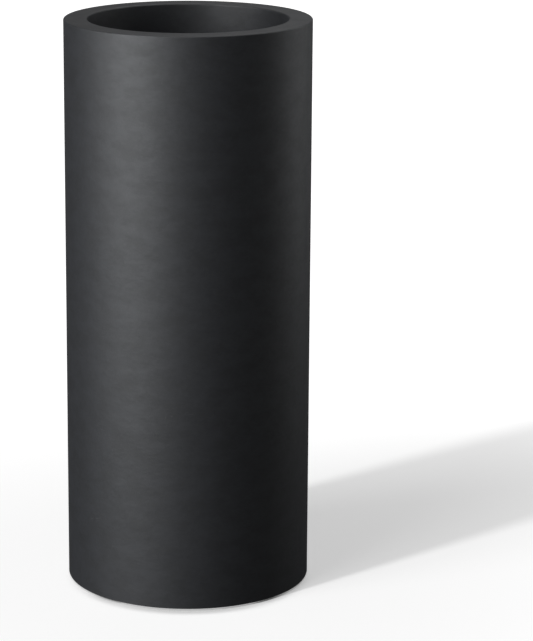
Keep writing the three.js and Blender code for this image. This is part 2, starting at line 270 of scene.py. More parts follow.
def rounded_outline(corners, steps=5):
    """An outline from its corners, each (radius, height, round). A round above 0 becomes an arc."""
    points = []
    for i, (radius, height, size) in enumerate(corners):
        here = Vector((radius, height))
        if not size:
            points.append(here)
            continue
        before = (Vector(corners[i - 1][:2]) - here).normalized()
        after = (Vector(corners[(i + 1) % len(corners)][:2]) - here).normalized()
        half = before.angle(after) / 2
        centre = here + (before + after).normalized() * size / math.sin(half)
        start = here + before * size / math.tan(half) - centre
        end = here + after * size / math.tan(half) - centre
        sweep = start.angle_signed(end)
        for step in range(steps + 1):
            turned = start.copy()
            turned.rotate(Matrix.Rotation(-sweep * step / steps, 2))
            points.append(centre + turned)
    return points


def divided(outline, longest, closed=True):
    """The same outline with its long straight stretches divided."""
    points = []
    for i, here in enumerate(outline):
        points.append(here)
        if i + 1 == len(outline) and not closed:
            break
        ahead = outline[(i + 1) % len(outline)]
        parts = math.ceil((ahead - here).length / longest)
        points.extend(here.lerp(ahead, k / parts) for k in range(1, parts))
    return points


def evenly(facets):
    return [TAU * i / facets for i in range(facets)]


def new_mesh(name, vertices, faces):
    mesh = bpy.data.meshes.new(name)
    mesh.from_pydata(vertices, [], faces)
    mesh.update()
    return mesh


def revolved(name, outline, turns, closed=True, shift=None, centre=(0, 0)):
    """A mesh of revolution about an upright axis. The outline runs anticlockwise with the axis on its
    left. shift takes (radius, height, angle) and gives a corner's own radius and height."""
    vertices, rings = [], []
    for point in outline:
        on_axis = point[0] < 1e-7
        ring = []
        for angle in turns[:1] if on_axis else turns:
            radius, height = shift(point[0], point[1], angle) if shift else point
            ring.append(len(vertices))
            x = centre[0] + radius * math.cos(angle)
            y = centre[1] + radius * math.sin(angle)
            vertices.append((x, y, height))
        rings.append(ring)
    faces = []
    after = rings[1:] + rings[:1] if closed else rings[1:]
    for low, high in zip(rings, after):
        for i in range(len(turns)):
            k = (i + 1) % len(turns)
            loop = [low[i % len(low)], low[k % len(low)], high[k % len(high)], high[i % len(high)]]
            faces.append(list(dict.fromkeys(loop)))
    return new_mesh(name, vertices, faces)


def lofted(name, sections):
    """A closed mesh through stacked loops of equal length, with a flat cap at each end."""
    size = len(sections[0])
    vertices = [point for section in sections for point in section]
    faces = [
        (low + i, low + (i + 1) % size, low + size + (i + 1) % size, low + size + i)
        for low in range(0, size * (len(sections) - 1), size)
        for i in range(size)
    ]
    faces.append(tuple(reversed(range(size))))
    faces.append(tuple(range(len(vertices) - size, len(vertices))))
    return new_mesh(name, vertices, faces)


def joined(name, meshes):
    """Several meshes as one."""
    made = bmesh.new()
    for mesh in meshes:
        made.from_mesh(mesh)
    result = bpy.data.meshes.new(name)
    made.to_mesh(result)
    made.free()
    return result


def placed(name, data):
    """A new object in the scene."""
    made = bpy.data.objects.new(name, data)
    bpy.context.scene.collection.objects.link(made)
    return made


def combined(mesh, other, operation):
    """The mesh cut by the other, or joined to it."""
    base, tool = placed("working_base", mesh), placed("working_tool", other)
    boolean = base.modifiers.new("Cut", "BOOLEAN")
    boolean.operation = operation
    boolean.solver = "EXACT"
    boolean.object = tool
    shown = base.evaluated_get(bpy.context.evaluated_depsgraph_get())
    result = bpy.data.meshes.new_from_object(shown)
    name = mesh.name
    for made in (base, tool):
        bpy.data.objects.remove(made)
    for used in (mesh, other):
        bpy.data.meshes.remove(used)
    result.name = name
    return result


def piece(mesh, node, slot, *materials, material_of=None):
    """Puts a mesh in the scene in place of a CAD node, riding on that node's body."""
    for material in materials:
        mesh.materials.append(material)
    mesh.polygons.foreach_set("use_smooth", [True] * len(mesh.polygons))
    if material_of:
        for face in mesh.polygons:
            face.material_index = material_of(face)
    made = placed(mesh.name, mesh)
    even = made.modifiers.new("Even shading", "WEIGHTED_NORMAL")
    even.mode = "FACE_AREA"
    even.weight = 75
    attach(made, frame["nodes"][node]["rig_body"])
    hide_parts(node)


def hole_cutter(centre, radius, low, high, chamfer, facets):
    """A solid that cuts a round hole through a plate between two heights, chamfered on both faces."""
    over = 2 * chamfer
    outline = (
        (0, low - over),
        (radius + chamfer + over, low - over),
        (radius, low + chamfer),
        (radius, high - chamfer),
        (radius + chamfer + over, high + over),
        (0, high + over),
    )
    points = [Vector(point) for point in outline]
    return revolved("hole", points, evenly(facets), closed=False, centre=centre)


def holes_of(node, height):
    """The round holes in a level plate at one height, as (centre, radius), from the node's own edges."""
    made = bmesh.new()
    made.from_mesh(frame["nodes"][node].data)
    bmesh.ops.remove_doubles(made, verts=made.verts, dist=SAME_POINT)
    at_height = {
        edge
        for edge in made.edges
        if all(abs(v.co.z - height) < SAME_HEIGHT for v in edge.verts)
        and len(edge.link_faces) == 2
        and edge.calc_face_angle(0) > math.radians(20)
    }
    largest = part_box(node)[1].x / 2
    found = []
    while at_height:
        corners = set(at_height.pop().verts)
        joining = True
        while joining:
            joining = {edge for edge in at_height if corners & set(edge.verts)}
            at_height -= joining
            corners |= {v for edge in joining for v in edge.verts}
        across = [v.co.x for v in corners]
        along = [v.co.y for v in corners]
        centre = Vector(((min(across) + max(across)) / 2, (min(along) + max(along)) / 2))
        radius = max((v.co.xy - centre).length for v in corners)
        if radius < largest:
            found.append((tuple(centre), radius))
    made.free()
    return sorted(found)


def drilled(plate, node, low, high, chamfer, small_facets, large_facets):
    """The plate with its CAD node's holes through it. Holes over 20 mm across get the larger count."""
    cutters = []
    for centre, radius in holes_of(node, high):
        facets = large_facets if radius > 10 * MM else small_facets
        cutters.append(hole_cutter(centre, radius, low, high, chamfer, facets))
    return combined(plate, joined("holes", cutters), "DIFFERENCE")


def on_wall(angle, height, size):
    """A point for smooth noise that goes round a wall without a seam."""
    around = OUTER_RADIUS / size
    return Vector((around * math.cos(angle), around * math.sin(angle), height / size))


# --- Shader nodes ------------------------------------------------------------------------------------


class Wiring:
    """Adds nodes to one tree. Each input is a plain value, or the output of another node."""

    def __init__(self, tree):
        self.tree = tree

    def link(self, output, socket):
        self.tree.links.new(output, socket)

    def node(self, kind, inputs=None, **settings):
        made = self.tree.nodes.new(kind)
        for name, value in settings.items():
            setattr(made, name, value)
        for name, value in (inputs or {}).items():
            socket = made.inputs[name]
            if isinstance(value, bpy.types.NodeSocket):
                self.link(value, socket)
            elif socket.type == "RGBA":
                socket.default_value = (*value[:3], 1.0)
            else:
                socket.default_value = value
        return made

    def math(self, operation, first, second=0.0, clamp=False):
        made = self.node("ShaderNodeMath", {0: first, 1: second}, operation=operation, use_clamp=clamp)
        return made.outputs[0]

    def plus(self, first, second, clamp=False):
        return self.math("ADD", first, second, clamp)

    def minus(self, first, second):
        return self.math("SUBTRACT", first, second)

    def times(self, first, second, clamp=False):
        return self.math("MULTIPLY", first, second, clamp)

    def most(self, first, *others):
        for other in others:
            first = self.math("MAXIMUM", first, other)
        return first

    def distance(self, x, y):
        """How far (x, y) is from the origin."""
        squares = self.plus(self.math("POWER", x, 2.0), self.math("POWER", y, 2.0))
        return self.math("SQRT", squares)

    def mix(self, share, first, second):
        """A colour between two."""
        inputs = {0: share, 6: first, 7: second}
        return self.node("ShaderNodeMix", inputs, data_type="RGBA").outputs[2]

    def between(self, share, first, second):
        """A number between two."""
        return self.node("ShaderNodeMix", {0: share, 2: first, 3: second}, data_type="FLOAT").outputs[0]

    def stretched(self, vector, factors):
        made = self.node("ShaderNodeVectorMath", {0: vector, 1: factors}, operation="MULTIPLY")
        return made.outputs[0]

    def scaled(self, vector, factor):
        return self.node("ShaderNodeVectorMath", {0: vector, 3: factor}, operation="SCALE").outputs[0]

    def moved(self, vector, offset):
        return self.node("ShaderNodeVectorMath", {0: vector, 1: offset}, operation="ADD").outputs[0]

    def warped(self, vector, scale, reach):
        """The vector, pushed about smoothly."""
        push = self.node("ShaderNodeTexNoise", {"Vector": vector, "Scale": scale}).outputs["Color"]
        return self.moved(vector, self.scaled(push, reach))

    def noise(self, vector, scale, detail=2.0, roughness=0.5):
        inputs = {"Vector": vector, "Scale": scale, "Detail": detail, "Roughness": roughness}
        return self.node("ShaderNodeTexNoise", inputs).outputs["Fac"]

    def cells(self, vector, scale):
        """How far each point is from the middle of its cell."""
        return self.node("ShaderNodeTexVoronoi", {"Vector": vector, "Scale": scale}).outputs["Distance"]

    def remap(self, value, low, high, to_low=0.0, to_high=1.0):
        """A number carried smoothly from one range to another, and held at the ends."""
        inputs = {"Value": value, 1: low, 2: high, 3: to_low, 4: to_high}
        made = self.node("ShaderNodeMapRange", inputs, interpolation_type="SMOOTHSTEP")
        return made.outputs["Result"]

    def split(self, vector):
        return self.node("ShaderNodeSeparateXYZ", {0: vector}).outputs

    def gather(self, x, y, z=0.0):
        return self.node("ShaderNodeCombineXYZ", {0: x, 1: y, 2: z}).outputs[0]

    def effect(self, group, inputs):
        """Places a shared effect and returns its outputs."""
        return self.node("ShaderNodeGroup", inputs, node_tree=group()).outputs


def shared_effect(inputs, outputs):
    """Turns a function into a shader node group, built when it is first asked for. The function takes
    the group's wiring and inputs, and returns what goes to its outputs."""

    def decorate(build):
        name = build.__name__.replace("_", " ").capitalize()

        def group():
            if name in bpy.data.node_groups:
                return bpy.data.node_groups[name]
            tree = bpy.data.node_groups.new(name, "ShaderNodeTree")
            for direction, sockets in (("INPUT", inputs), ("OUTPUT", outputs)):
                for key, kind in sockets.items():
                    tree.interface.new_socket(key, in_out=direction, socket_type="NodeSocket" + kind)
            wiring = Wiring(tree)
            results = build(wiring, wiring.node("NodeGroupInput").outputs)
            wiring.node("NodeGroupOutput", dict(zip(outputs, results)))
            return tree

        return group

    return decorate


@shared_effect(
    {"Vector": "Vector", "Scale": "Float", "Base": "Color", "Cloud": "Color"},
    {"Colour": "Color", "Clouds": "Float"},
)
def cloudy_pigment(wiring, given):
    """Pigment that settled unevenly: two tones in soft clouds, with a fine speckle."""
    place, scale = given["Vector"], given["Scale"]
    broad = wiring.noise(place, scale, 3.0, 0.55)
    finer = wiring.noise(place, wiring.times(scale, 5.3), 4.0, 0.6)
    speckle = wiring.noise(place, wiring.times(scale, 160), 1.0, 0.5)
    clouds = wiring.plus(wiring.times(broad, 0.62), wiring.times(finer, 0.38))
    paler = wiring.remap(wiring.plus(clouds, wiring.times(speckle, 0.16)), 0.40, 0.74)
    return wiring.mix(paler, given["Base"], given["Cloud"]), clouds


@shared_effect(
    {"Vector": "Vector", "Edge Radius": "Float", "Edge Height": "Float", "Width": "Float"},
    {"Mask": "Float"},
)
def edge_wear(wiring, given):
    """A mask for wear along a round edge: strong on the edge, broken up and fading away from it."""
    x, y, z = wiring.split(given["Vector"])
    across = wiring.minus(wiring.distance(x, y), given["Edge Radius"])
    up = wiring.minus(z, given["Edge Height"])
    away = wiring.math("DIVIDE", wiring.distance(across, up), given["Width"])
    ragged = wiring.plus(away, wiring.noise(given["Vector"], 190.0, 4.0, 0.7))
    broken = wiring.remap(wiring.noise(given["Vector"], 26.0, 3.0, 0.6), 0.42, 0.62)
    return [wiring.times(wiring.remap(ragged, 1.35, 0.55), broken)]


@shared_effect({"Vector": "Vector", "Share": "Float"}, {"Mask": "Float"})
def settled_dust(wiring, given):
    """A mask for dust and dried splashes on faces that look up."""
    normal = wiring.node("ShaderNodeNewGeometry").outputs["Normal"]
    upward = wiring.remap(wiring.split(normal)[2], 0.55, 0.95)
    patches = wiring.remap(wiring.noise(given["Vector"], 14.0, 5.0, 0.62), 0.36, 0.70)
    specks = wiring.remap(wiring.noise(given["Vector"], 900.0, 2.0, 0.5), 0.50, 0.70)
    layer = wiring.plus(patches, wiring.times(specks, 0.5))
    return [wiring.times(wiring.times(layer, upward), given["Share"], clamp=True)]


@shared_effect({"Vector": "Vector", "Sparseness": "Float"}, {"Mask": "Float"})
def light_scuffs(wiring, given):
    """A mask for a few short, thin scuffs in mixed directions."""
    start = wiring.warped(given["Vector"], 9.0, 0.05)
    strokes = []
    for factors, level in (((60.0, 60.0, 900.0), 0.715), ((700.0, 700.0, 45.0), 0.725)):
        stroke = wiring.noise(wiring.stretched(start, factors), 1.0, 1.0, 0.5)
        strokes.append(wiring.remap(stroke, level, level + 0.06))
    where = wiring.remap(wiring.noise(given["Vector"], 11.0, 2.0, 0.5), given["Sparseness"], 0.78)
    return [wiring.times(wiring.most(*strokes), where)]


@shared_effect({"Vector": "Vector", "Scale": "Float"}, {"Strands": "Float", "Height": "Float"})
def glass_mat(wiring, given):
    """Chopped strands of glass under resin, on a surface laid flat: a mask and a height."""
    place = wiring.scaled(given["Vector"], given["Scale"])
    start = wiring.warped(place, 0.5, 0.25)
    layers = []
    for turn in (8, 33, 71, 98, 127, 160):
        inputs = {"Vector": start, "Angle": math.radians(turn)}
        turned = wiring.node("ShaderNodeVectorRotate", inputs, rotation_type="Z_AXIS").outputs[0]
        thin = wiring.moved(wiring.stretched(turned, (0.8, 19.0, 1.0)), (turn, turn / 3, 0.0))
        layers.append(wiring.remap(wiring.noise(thin, 1.0, 0.0, 0.4), 0.585, 0.66, 0.0, 0.6 + turn / 400))
    strands = wiring.most(*layers)
    return strands, wiring.plus(wiring.times(strands, 0.5), wiring.noise(place, 0.8, 3.0, 0.5))


@shared_effect({"Vector": "Vector", "Scale": "Float"}, {"Height": "Float", "Pinholes": "Float"})
def moulded_grain(wiring, given):
    """The fine pebbled grain of a moulded surface, with a few pinholes."""
    pebbles = wiring.noise(given["Vector"], given["Scale"], 2.0, 0.55)
    holes = wiring.cells(given["Vector"], wiring.times(given["Scale"], 0.12))
    pinholes = wiring.remap(holes, 0.10, 0.04)
    return wiring.minus(pebbles, pinholes), pinholes


@shared_effect({"Vector": "Vector"}, {"Flat": "Vector"})
def laid_flat(wiring, given):
    """Surface coordinates laid out flat: plan for a level face, the way round and height for a wall."""
    x, y, z = wiring.split(given["Vector"])
    around = wiring.times(wiring.math("ARCTAN2", y, x), WALL_INNER_RADIUS)
    facing = wiring.split(wiring.node("ShaderNodeNewGeometry").outputs["True Normal"])[2]
    level = wiring.math("GREATER_THAN", wiring.math("ABSOLUTE", facing), 0.7)
    inputs = {0: level, 4: wiring.gather(around, z), 5: wiring.gather(x, y)}
    return [wiring.node("ShaderNodeMix", inputs, data_type="VECTOR").outputs[1]]


class Surface(Wiring):
    """The wiring of a material, made new or afresh, with its shader and the object's coordinates."""

    def __init__(self, name):
        self.material = bpy.data.materials.get(name) or bpy.data.materials.new(name)
        self.material.use_nodes = True
        self.material.node_tree.nodes.clear()
        super().__init__(self.material.node_tree)
        self.shader = self.node("ShaderNodeBsdfPrincipled")
        self.output = self.node("ShaderNodeOutputMaterial", {"Surface": self.shader.outputs[0]})
        self.place = self.node("ShaderNodeTexCoord").outputs["Object"]

    def pigment(self, scale, base, cloud, place=None):
        """The colour of cloudy pigment, and its clouds."""
        place = place or self.place
        inputs = {"Vector": place, "Scale": scale, "Base": base, "Cloud": cloud}
        return self.effect(cloudy_pigment, inputs)

    def worn(self, radius, height, width):
        inputs = {"Vector": self.place, "Edge Radius": radius, "Edge Height": height, "Width": width}
        return self.effect(edge_wear, inputs)["Mask"]

    def scuffed(self, sparseness):
        return self.effect(light_scuffs, {"Vector": self.place, "Sparseness": sparseness})["Mask"]

    def dusty(self, share):
        return self.effect(settled_dust, {"Vector": self.place, "Share": share})["Mask"]

    def grain(self, scale):
        return self.effect(moulded_grain, {"Vector": self.place, "Scale": scale})

    def complete(self, colour, roughness, height, relief):
        """Wires in what changes over the surface. The relief is what a height of 1 stands proud."""
        bump = self.node("ShaderNodeBump", {"Height": height, "Distance": relief})
        self.link(colour, self.shader.inputs["Base Color"])
        self.link(roughness, self.shader.inputs["Roughness"])
        self.link(bump.outputs["Normal"], self.shader.inputs["Normal"])

    def set_plain(self, values):
        """Sets the shader's values that are the same all over the surface."""
        for name, value in values.items():
            self.shader.inputs[name].default_value = value


# --- Materials ---------------------------------------------------------------------------------------


def gelcoat(finish):
    """Satin charcoal gelcoat, faintly cloudy, with a few scuffs, worn edges and a trace of dust."""
    made = Surface("Charcoal gelcoat")
    drawn = made.stretched(made.place, (1.0, 1.0, 1.7))
    pigment = made.pigment(22.0, finish.gelcoat, finish.gelcoat_pale, drawn)
    edges = (
        (OUTER_RADIUS, SHELL_TOP, 2.0 * MM),
        (OPENING_RADIUS, SHELL_TOP, 2.0 * MM),
        (OUTER_RADIUS, SHELL_BOTTOM, 3.0 * MM),
        (OPENING_RADIUS, LIP_BOTTOM, 3.0 * MM),
    )
    worn = made.most(*(made.worn(*edge) for edge in edges))
    marks = made.most(made.times(worn, 0.22), made.times(made.scuffed(0.55), 0.45))
    dust = made.dusty(0.25 * finish.dust_share)
    marked = made.mix(marks, pigment["Colour"], finish.scuff)
    rough, spread = finish.gelcoat_gloss, 0.013
    clouded = made.remap(pigment["Clouds"], 0.40, 0.60, rough + spread, rough - spread)
    rougher = made.plus(made.times(marks, 0.18), made.times(dust, 0.5))
    peel = made.times(made.noise(made.place, 420.0, 2.0, 0.5), 0.12)
    ripple = made.times(made.noise(drawn, 19.0, 3.0, 0.55), 5.0)
    made.complete(
        made.mix(dust, marked, finish.dust),
        made.plus(clouded, rougher, clamp=True),
        made.plus(peel, ripple),
        0.15 * MM,
    )
    made.set_plain({"Specular IOR Level": 0.7})
    return made.material


def laminate(finish):
    """Raw laminate: chopped strands of glass in dark resin, rough where it was against no mould."""
    made = Surface("Raw laminate")
    flat = made.effect(laid_flat, {"Vector": made.place})["Flat"]
    mat = made.effect(glass_mat, {"Vector": flat, "Scale": 45.0})
    pigment = made.pigment(9.0, finish.resin, finish.resin_pale)
    wetted = made.remap(pigment["Clouds"], 0.35, 0.65, 0.20, 0.75)
    strands = made.times(mat["Strands"], wetted)
    glassed = made.mix(strands, pigment["Colour"], finish.strand)
    made.complete(
        made.mix(made.dusty(finish.dust_share), glassed, finish.dust),
        made.remap(strands, 0.0, 1.0, 0.34, 0.62),
        mat["Height"],
        0.35 * MM,
    )
    return made.material


def foam(finish):
    """Closed-cell foam with its cells cut open, stained by resin."""
    made = Surface("Foam core")
    open_cells = made.remap(made.cells(made.place, 1100.0), 0.15, 0.65)
    stain = made.pigment(17.0, finish.foam, finish.paste)
    made.complete(
        made.mix(made.times(open_cells, 0.4), stain["Colour"], finish.resin),
        made.remap(stain["Clouds"], 0.3, 0.7, 0.95, 0.7),
        made.minus(1.0, open_cells),
        0.4 * MM,
    )
    return made.material


def shelf_board(finish):
    """Moulded shelf board: pebbled and dusty, scuffed and worn pale along its upper edge."""
    made = Surface("Shelf board")
    pigment = made.pigment(14.0, finish.board, finish.board_pale)
    worn = made.worn(SHELF_RADIUS, SHELF_TOP, 3.0 * MM)
    marks = made.most(made.times(worn, 0.5), made.times(made.scuffed(0.42), 0.4))
    marked = made.mix(marks, pigment["Colour"], finish.scuff)
    dust = made.dusty(1.2 * finish.dust_share)
    grain = made.grain(700.0)
    made.complete(
        made.mix(dust, marked, finish.dust),
        made.plus(made.remap(grain["Height"], 0.3, 0.7, 0.48, 0.62), dust, clamp=True),
        grain["Height"],
        0.12 * MM,
    )
    return made.material


def bonding_paste(finish):
    """Grey bonding paste, smoothed by hand, with trapped bubbles, whose pits are darkened to the resin
    colour as painted shade.
    """
    made = Surface("Bonding paste")
    pigment = made.pigment(24.0, finish.paste, finish.strand)
    grain = made.grain(900.0)
    # Painted shade: the pinholes take the dark resin colour, darker than the paste round them.
    made.complete(
        made.mix(grain["Pinholes"], pigment["Colour"], finish.resin),
        made.remap(pigment["Clouds"], 0.3, 0.7, 0.55, 0.78),
        made.plus(grain["Height"], made.noise(made.place, 60.0, 3.0)),
        0.5 * MM,
    )
    return made.material


def black_rubber(finish):
    """Moulded black rubber with a dull bloom and dust from the floor."""
    made = Surface("Black rubber")
    pigment = made.pigment(60.0, finish.rubber, finish.gelcoat_pale)
    low = made.remap(made.split(made.place)[2], 5.0 * MM, 0.0, 0.0, 0.25)
    soiled = made.times(low, made.noise(made.place, 320.0, 4.0, 0.7))
    made.complete(
        made.mix(soiled, pigment["Colour"], finish.dust),
        made.remap(pigment["Clouds"], 0.3, 0.7, 0.66, 0.84),
        made.grain(1600.0)["Height"],
        0.06 * MM,
    )
    made.set_plain({"Specular IOR Level": 0.35})
    return made.material


def zinc_plating(finish):
    """Bright zinc plating with fine turning marks and dull patches."""
    made = Surface("Zinc plating")
    dull = made.remap(made.noise(made.place, 260.0, 4.0, 0.65), 0.38, 0.68)
    turned = made.noise(made.stretched(made.place, (500.0, 500.0, 9000.0)), 1.0, 2.0, 0.6)
    made.complete(
        made.mix(made.times(dull, 0.45), finish.zinc, finish.strand),
        made.remap(made.plus(dull, turned), 0.3, 1.6, 0.24, 0.5),
        turned,
        0.02 * MM,
    )
    made.set_plain({"Metallic": 1.0})
    return made.material


# --- Operators, one for each piece or group of like pieces -------------------------------------------


TAPE_HEIGHT = 26 * MM


class PLANTER_OT_shell(bpy.types.Operator):
    """Builds the one-piece laminate shell: wall, flat rim and return lip"""

    bl_idname = "planter.shell"
    bl_label = "Shell"
    bl_options = {"REGISTER", "UNDO"}

    def execute(self, context):
        scene = context.scene
        shell, inside, finish = scene.planter_shell, scene.planter_inside, scene.planter_finish
        trimmed, resin = shell.trim_round, inside.resin_round
        corners = [
            (WALL_INNER_RADIUS, SHELL_BOTTOM, trimmed),
            (OUTER_RADIUS, SHELL_BOTTOM, trimmed),
            (OUTER_RADIUS, SHELL_TOP, shell.outer_round),
            (OPENING_RADIUS, SHELL_TOP, shell.inner_round),
            (OPENING_RADIUS, LIP_BOTTOM, trimmed),
            (LIP_BACK_RADIUS, LIP_BOTTOM, trimmed),
            (LIP_BACK_RADIUS, RIM_UNDERSIDE, resin),
            (WALL_INNER_RADIUS, RIM_UNDERSIDE, resin),
        ]
        outline = divided(rounded_outline(corners), 12 * MM)
        near = 0.1 * MM
        strips = round(TAU * WALL_INNER_RADIUS / shell.mat_strip)
        half_lap = 0.055

        def bareness(height):
            """1 where the wall's inside is bare, 0 where other pieces are bonded to it."""
            clear_of_tape = height - LEDGE_TOP - TAPE_HEIGHT - 4 * MM
            clear_of_ledge = max(WEB_BOTTOM - height, clear_of_tape)
            clear = min(height - BEAD_TOP, clear_of_ledge, CORE_BOTTOM - height)
            return max(0, min(1, clear / (12 * MM)))

        def lapped(angle, height):
            """The overlap of two strips of mat, with a ragged edge."""
            ragged = 0.02 * noise.noise(on_wall(angle, height, 18 * MM))
            beside = abs((angle * strips / TAU + 0.5) % 1 - 0.5) * TAU / strips
            return 1 if beside + ragged < half_lap else 0

        def shift(radius, height, angle):
            if radius > OUTER_RADIUS - near and SHELL_BOTTOM < height < SHELL_TOP:
                fade = min(1, (SHELL_TOP - height) / (60 * MM), (height - SHELL_BOTTOM) / (20 * MM))
                wave = 0.5 * noise.noise(on_wall(angle, height, 170 * MM)) - 0.5
                radius += shell.wave * wave * max(0, fade)
            elif abs(radius - WALL_INNER_RADIUS) < near:
                rough = 0.25 * noise.noise(on_wall(angle, height, 11 * MM)) - 0.25
                radius += bareness(height) * shell.mat_lap * (rough - lapped(angle, height))
            return radius, height

        def material_of(face):
            """0 on the moulded face, 1 on the laminate that was against no mould."""
            x, y, z = face.center
            behind_lip = OPENING_RADIUS + MM < math.hypot(x, y) < OUTER_RADIUS - MM
            return 1 if behind_lip and z < RIM_UNDERSIDE + MM or z < SHELL_BOTTOM + 2 * near else 0

        mesh = revolved("charcoal_shell", outline, evenly(shell.facets), shift=shift)
        materials = gelcoat(finish), laminate(finish)
        piece(mesh, "planter_shell", "gelcoat", *materials, material_of=material_of)
        return {"FINISHED"}


class PLANTER_OT_rim_core(bpy.types.Operator):
    """Builds the foam ring under the rim: blocks butted end to end, kerfed to bend round"""

    bl_idname = "planter.rim_core"
    bl_label = "Rim core"
    bl_options = {"REGISTER", "UNDO"}

    def execute(self, context):
        inside, finish = context.scene.planter_inside, context.scene.planter_finish
        full = CORE_TOP - CORE_BOTTOM
        kerf_depth, butt_depth = 0.6 * full, 0.97 * full
        step = TAU / inside.core_kerfs
        kerf = 1.1 * MM / CORE_INNER_RADIUS
        sides = (0, kerf / 4, kerf, 1.25 * kerf)
        turns = [i * step + side for i in range(inside.core_kerfs) for side in sides]
        every = inside.core_kerfs // inside.core_blocks
        edge = 3 * MM
        corners = [
            (CORE_INNER_RADIUS, CORE_BOTTOM, edge),
            (CORE_OUTER_RADIUS, CORE_BOTTOM, edge),
            (CORE_OUTER_RADIUS, CORE_TOP, edge),
            (CORE_INNER_RADIUS, CORE_TOP, edge),
        ]

        def shift(radius, height, angle):
            """Lifts the underside in the kerfs, and nearly to the top where two blocks meet."""
            number, within = divmod(angle + kerf / 8, step)
            if not kerf / 8 < within - kerf / 8 < 1.1 * kerf:
                return radius, height
            depth = butt_depth if round(number) % every == 0 else kerf_depth
            return radius, height + depth * (CORE_TOP - height) / full

        mesh = revolved("foam_rim_ring", rounded_outline(corners, 3), turns, shift=shift)
        piece(mesh, "rim_core", "foam_core", foam(finish))
        return {"FINISHED"}


class PLANTER_OT_ledge(bpy.types.Operator):
    """Builds the stepped ledge, glassed to the wall, and the webs under it"""

    bl_idname = "planter.ledge"
    bl_label = "Ledge and webs"
    bl_options = {"REGISTER", "UNDO"}

    def execute(self, context):
        inside, finish = context.scene.planter_inside, context.scene.planter_finish
        resin = inside.resin_round
        tape_top, tape = LEDGE_TOP + TAPE_HEIGHT, 0.9 * MM
        tape_face = LEDGE_OUTER_RADIUS - tape
        corners = [
            (LEDGE_INNER_RADIUS, LEDGE_BOTTOM, resin),
            (LEDGE_OUTER_RADIUS, LEDGE_BOTTOM, 0),
            (LEDGE_OUTER_RADIUS, tape_top, 0.2 * MM),
            (LEDGE_OUTER_RADIUS - tape / 2, tape_top, 0),
            (tape_face, LEDGE_TOP + TAPE_HEIGHT / 2, 0),
            (tape_face, LEDGE_TOP, 5 * MM),
            (LEDGE_STEP_RADIUS, LEDGE_TOP, 1.2 * MM),
            (LEDGE_STEP_RADIUS, SHELF_BOTTOM, 0.6 * MM),
            (LEDGE_INNER_RADIUS, SHELF_BOTTOM, resin),
        ]
        outline = divided(rounded_outline(corners), 8 * MM)

        def shift(radius, height, angle):
            """The tape's top edge is ragged."""
            above = max(0, height - LEDGE_TOP) / TAPE_HEIGHT
            return radius, height + 3 * MM * above * noise.noise(on_wall(angle, 0, 14 * MM))

        mesh = revolved("glassed_ledge", outline, evenly(inside.facets), shift=shift)
        surface = laminate(finish)
        piece(mesh, "shelf_ledge", "laminate", surface)
        webs = sorted(name for name in frame["nodes"] if name.startswith("ledge_gusset_"))
        for number, node in enumerate(webs, 1):
            self.build_web(node, f"ledge_web_{number}", surface)
        return {"FINISHED"}

    def build_web(self, node, name, surface):
        """One web: its CAD outline with resin-rounded edges."""
        mesh = frame["nodes"][node].data.copy()
        mesh.name = name
        mesh.materials.clear()
        made = bmesh.new()
        made.from_mesh(mesh)
        bmesh.ops.remove_doubles(made, verts=made.verts, dist=SAME_POINT)
        bmesh.ops.dissolve_limit(made, angle_limit=math.radians(1), verts=made.verts, edges=made.edges)
        rounding = {"offset": 1.3 * MM, "segments": 4, "profile": 0.5, "clamp_overlap": True}
        bmesh.ops.bevel(made, geom=made.edges[:], affect="EDGES", **rounding)
        made.to_mesh(mesh)
        made.free()
        piece(mesh, node, "laminate", surface)


class PLANTER_OT_shelf(bpy.types.Operator):
    """Builds the lift-out shelf, with finger holes and rings of drain holes"""

    bl_idname = "planter.shelf"
    bl_label = "Shelf"
    bl_options = {"REGISTER", "UNDO"}

    def execute(self, context):
        inside, finish = context.scene.planter_inside, context.scene.planter_finish
        corners = [
            (0, SHELF_BOTTOM, 0),
            (SHELF_RADIUS, SHELF_BOTTOM, inside.board_round),
            (SHELF_RADIUS, SHELF_TOP, inside.board_round),
            (0, SHELF_TOP, 0),
        ]
        outline = rounded_outline(corners)
        board = revolved("drilled_shelf", outline, evenly(inside.facets), closed=False)
        mesh = drilled(board, "insert_shelf", SHELF_BOTTOM, SHELF_TOP, inside.hole_chamfer, 20, 48)
        piece(mesh, "insert_shelf", "shelf_board", shelf_board(finish))
        return {"FINISHED"}


class PLANTER_OT_base_pan(bpy.types.Operator):
    """Builds the base pan with its skirt, drain holes and stud holes"""

    bl_idname = "planter.base_pan"
    bl_label = "Base pan"
    bl_options = {"REGISTER", "UNDO"}

    def execute(self, context):
        inside, finish = context.scene.planter_inside, context.scene.planter_finish
        skirt_round = 0.8 * MM
        corners = [
            (0, PAN_UNDERSIDE, 0),
            (PAN_SKIRT_INNER_RADIUS, PAN_UNDERSIDE, inside.pan_round / 2),
            (PAN_SKIRT_INNER_RADIUS, PAN_BOTTOM, skirt_round),
            (PAN_RADIUS, PAN_BOTTOM, skirt_round),
            (PAN_RADIUS, PAN_TOP, inside.pan_round),
            (0, PAN_TOP, 0),
        ]
        outline = rounded_outline(corners)
        tray = revolved("moulded_base_pan", outline, evenly(inside.facets), closed=False)
        mesh = drilled(tray, "base_pan", PAN_UNDERSIDE, PAN_TOP, inside.hole_chamfer / 2, 36, 36)
        piece(mesh, "base_pan", "laminate", laminate(finish))
        return {"FINISHED"}


